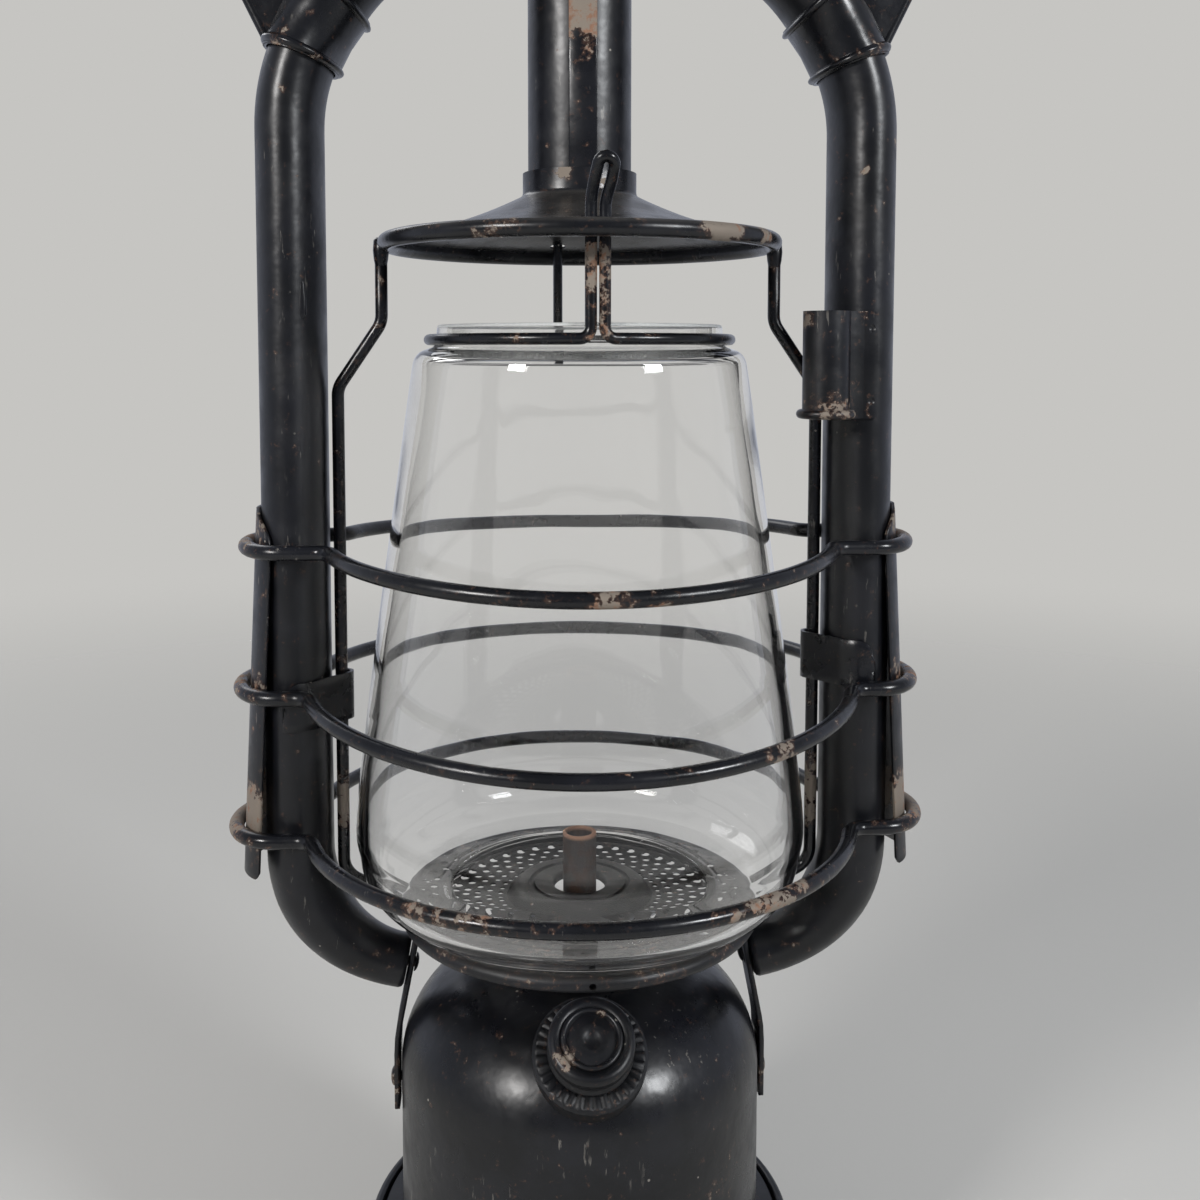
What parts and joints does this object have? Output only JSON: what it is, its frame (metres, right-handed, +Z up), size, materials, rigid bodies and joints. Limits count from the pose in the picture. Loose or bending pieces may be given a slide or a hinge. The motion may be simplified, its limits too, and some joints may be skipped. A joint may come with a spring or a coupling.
{
  "type": "carbide storm lantern",
  "caption": "Tubular carbide storm lantern: water tank over a screwed carbide pot, glass globe in a lifting cage with wire guards, hood and bail.",
  "frame": {"origin": "centre of the carbide pot's flat base, which the lantern stands on", "axes": "+Z up along the lantern's axis, -Y to its front with the filler cap, +X to the tube with the accessory socket"},
  "size_m": [0.1722, 0.1336, 0.4428],
  "materials": {
    "black_paint": "semi-gloss black paint",
    "worn_paint": "worn black paint with bare and rusty edges",
    "bare_steel": "dull bare sheet steel",
    "rusty_steel": "rusty bare steel",
    "brass": "aged brass",
    "rubber": "matte black rubber",
    "clear_glass": "clear glass"
  },
  "bodies": {
    "frame": {"water_tank": "black_paint", "filler_neck": "black_paint", "strap_left": "black_paint", "strap_right": "black_paint", "strap_rivet_foot_left": "black_paint", "strap_rivet_foot_right": "black_paint", "strap_rivet_top_left": "black_paint", "strap_rivet_top_right": "black_paint", "side_tube_left": "black_paint", "side_tube_right": "black_paint", "arm_left": "black_paint", "arm_right": "black_paint", "collar_left": "black_paint", "collar_right": "black_paint", "hood": "black_paint", "hood_cover": "black_paint", "wire_guide_left": "black_paint", "wire_guide_right": "black_paint", "accessory_socket": "black_paint", "guard_ring_top": "worn_paint", "guard_ring_middle": "worn_paint", "guard_ring_bottom": "worn_paint", "guard_strip_left": "worn_paint", "guard_strip_right": "worn_paint", "tank_floor": "bare_steel", "gas_pipe": "rusty_steel", "tank_base_ring": "brass", "drip_tube": "brass", "valve_block": "brass", "regulator_gland": "brass"},
    "globe_carriage": {"chimney_tube": "worn_paint", "globe_plate": "worn_paint", "lift_wire_left": "worn_paint", "lift_wire_right": "worn_paint", "gallery": "worn_paint", "globe": "clear_glass"},
    "globe_retainer": {"globe_retainer": "worn_paint"},
    "bail": {"bail": "black_paint"},
    "cap_washer": {"cap_washer": "rubber"},
    "filler_cap": {"filler_cap": "black_paint"},
    "valve_rod": {"valve_rod": "brass"},
    "regulator_knob": {"regulator_knob": "brass"},
    "pot_gasket": {"pot_gasket": "rubber"},
    "carbide_pot": {"carbide_pot": "black_paint", "carbide_basket": "bare_steel"}
  },
  "joints": [
    {"name": "globe_lift", "type": "slide", "parent": "frame", "child": "globe_carriage", "axis": [0, 0, 1], "range_m": [0, 0.025]},
    {"name": "retainer_lift", "type": "slide", "parent": "globe_carriage", "child": "globe_retainer", "axis": [0, 0, 1], "range_m": [0, 0.008]},
    {"name": "bail_swing", "type": "hinge", "parent": "frame", "child": "bail", "pos_m": [0, 0, 0.35], "axis": [1, 0, 0], "range_deg": [-120, 120]},
    {"name": "cap_travel", "type": "slide", "parent": "frame", "child": "cap_washer", "axis": [0, -0.6428, 0.766], "range_m": [0, 0.0046]},
    {"name": "cap_turn", "type": "hinge", "parent": "cap_washer", "child": "filler_cap", "pos_m": [0, -0.03533, 0.10339], "axis": [0, -0.6428, 0.766], "range_deg": [0, 1080]},
    {"name": "valve_travel", "type": "slide", "parent": "frame", "child": "valve_rod", "axis": [0, 1, 0], "range_m": [0, 0.0016]},
    {"name": "valve_turn", "type": "hinge", "parent": "valve_rod", "child": "regulator_knob", "pos_m": [0, 0.055, 0.0553], "axis": [0, 1, 0], "range_deg": [0, 540]},
    {"name": "pot_travel", "type": "slide", "parent": "frame", "child": "pot_gasket", "axis": [0, 0, -1], "range_m": [0, 0.0091]},
    {"name": "pot_turn", "type": "hinge", "parent": "pot_gasket", "child": "carbide_pot", "pos_m": [0, 0, 0], "axis": [0, 0, -1], "range_deg": [0, 1080]}
  ],
  "couplings": [
    {"joint": "cap_travel", "follows": "cap_turn", "m_per_rad": 0.00023873},
    {"joint": "valve_travel", "follows": "valve_turn", "m_per_rad": 0.00015915},
    {"joint": "pot_travel", "follows": "pot_turn", "m_per_rad": 0.00047746}
  ]
}
